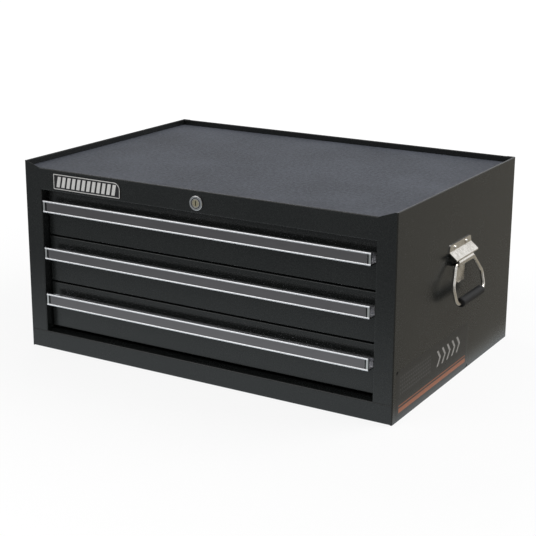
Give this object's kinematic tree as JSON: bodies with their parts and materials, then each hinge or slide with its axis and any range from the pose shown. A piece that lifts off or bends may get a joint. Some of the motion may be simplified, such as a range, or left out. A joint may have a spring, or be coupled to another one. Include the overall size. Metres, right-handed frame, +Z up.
{
  "type": "machinist tool chest",
  "caption": "Sheet-steel tool chest with full-width recessed drawers on ball-bearing slides, a key lock, a matted top tray and folding side handles.",
  "frame": {"origin": "middle of the footprint, pulls and handles included, on the surface the chest stands on", "axes": "+X to the right seen from the front, +Y to the back, +Z up; the drawers open towards -Y"},
  "size_m": [0.735, 0.4646, 0.32],
  "materials": {
    "cabinet_paint": "semi-gloss black powder coat",
    "drawer_paint": "semi-gloss black powder coat",
    "slide_steel": "bright zinc plate",
    "lock_steel": "zinc plate",
    "top_mat": "fine ribbed matt grey",
    "drawer_liner": "matt foam",
    "pull_aluminium": "bright anodised",
    "pull_insert": "satin grey",
    "pull_end_clip": "satin grey",
    "chrome": "chrome plate",
    "lock_brass": "worn nickelled brass",
    "grip": "moulded"
  },
  "bodies": {
    "cabinet": {"side_panel_left": "cabinet_paint", "slide_upright_front_left": "cabinet_paint", "slide_upright_rear_left": "cabinet_paint", "handle_bracket_left": "chrome", "handle_rivets_left": "chrome", "cabinet_slide_left_1": "slide_steel", "cabinet_slide_left_2": "slide_steel", "cabinet_slide_left_3": "slide_steel", "side_panel_right": "cabinet_paint", "slide_upright_front_right": "cabinet_paint", "slide_upright_rear_right": "cabinet_paint", "handle_bracket_right": "chrome", "handle_rivets_right": "chrome", "cabinet_slide_right_1": "slide_steel", "cabinet_slide_right_2": "slide_steel", "cabinet_slide_right_3": "slide_steel", "back_panel": "cabinet_paint", "bottom_panel": "cabinet_paint", "top_panel": "cabinet_paint", "header_rail": "cabinet_paint", "bottom_rail": "cabinet_paint", "top_mat": "top_mat", "lock_barrel": "chrome", "lock_clip": "lock_steel", "rod_hanger": "lock_steel", "lock_bar_guides": "lock_steel"},
    "lock_key_plug": {"lock_plug": "lock_brass", "lock_rod": "lock_steel"},
    "lock_bar_body": {"lock_bar": "lock_steel"},
    "left_bail": {"handle_bail_left": "chrome", "handle_grip_left": "grip"},
    "right_bail": {"handle_bail_right": "chrome", "handle_grip_right": "grip"},
    "drawer_1": {"drawer_pan_1": "drawer_paint", "drawer_front_1": "drawer_paint", "drawer_liner_1": "drawer_liner", "drawer_pull_1": "pull_aluminium", "pull_insert_1": "pull_insert", "pull_end_clips_1": "pull_end_clip", "drawer_slide_left_1": "slide_steel", "drawer_slide_right_1": "slide_steel"},
    "cages_1": {"ball_cages_1": "slide_steel"},
    "drawer_2": {"drawer_pan_2": "drawer_paint", "drawer_front_2": "drawer_paint", "drawer_liner_2": "drawer_liner", "drawer_pull_2": "pull_aluminium", "pull_insert_2": "pull_insert", "pull_end_clips_2": "pull_end_clip", "drawer_slide_left_2": "slide_steel", "drawer_slide_right_2": "slide_steel"},
    "cages_2": {"ball_cages_2": "slide_steel"},
    "drawer_3": {"drawer_pan_3": "drawer_paint", "drawer_front_3": "drawer_paint", "drawer_liner_3": "drawer_liner", "drawer_pull_3": "pull_aluminium", "pull_insert_3": "pull_insert", "pull_end_clips_3": "pull_end_clip", "drawer_slide_left_3": "slide_steel", "drawer_slide_right_3": "slide_steel"},
    "cages_3": {"ball_cages_3": "slide_steel"}
  },
  "joints": [
    {"name": "drawer_1_slide", "type": "slide", "parent": "cabinet", "child": "drawer_1", "axis": [0, -1, 0], "range_m": [0, 0.3]},
    {"name": "drawer_2_slide", "type": "slide", "parent": "cabinet", "child": "drawer_2", "axis": [0, -1, 0], "range_m": [0, 0.3]},
    {"name": "drawer_3_slide", "type": "slide", "parent": "cabinet", "child": "drawer_3", "axis": [0, -1, 0], "range_m": [0, 0.3]},
    {"name": "cages_1_slide", "type": "slide", "parent": "cabinet", "child": "cages_1", "axis": [0, -1, 0], "range_m": [0, 0.15]},
    {"name": "cages_2_slide", "type": "slide", "parent": "cabinet", "child": "cages_2", "axis": [0, -1, 0], "range_m": [0, 0.15]},
    {"name": "cages_3_slide", "type": "slide", "parent": "cabinet", "child": "cages_3", "axis": [0, -1, 0], "range_m": [0, 0.15]},
    {"name": "lock_turn", "type": "hinge", "parent": "cabinet", "child": "lock_key_plug", "pos_m": [0, -0.2277, 0.291], "axis": [0, 1, 0], "range_deg": [0, 90]},
    {"name": "lock_bar_lift", "type": "slide", "parent": "cabinet", "child": "lock_bar_body", "axis": [0, 0, 1], "range_m": [0, 0.01414]},
    {"name": "left_handle_swing", "type": "hinge", "parent": "cabinet", "child": "left_bail", "pos_m": [-0.347, 0.0023, 0.1965], "axis": [0, 1, 0], "range_deg": [0, 90]},
    {"name": "right_handle_swing", "type": "hinge", "parent": "cabinet", "child": "right_bail", "pos_m": [0.347, 0.0023, 0.1965], "axis": [0, -1, 0], "range_deg": [0, 90]}
  ],
  "couplings": [
    {"joint": "cages_1_slide", "follows": "drawer_1_slide", "ratio": 0.5},
    {"joint": "cages_2_slide", "follows": "drawer_2_slide", "ratio": 0.5},
    {"joint": "cages_3_slide", "follows": "drawer_3_slide", "ratio": 0.5},
    {"joint": "lock_turn", "follows": "lock_bar_lift", "rad_per_m": 111.07}
  ]
}
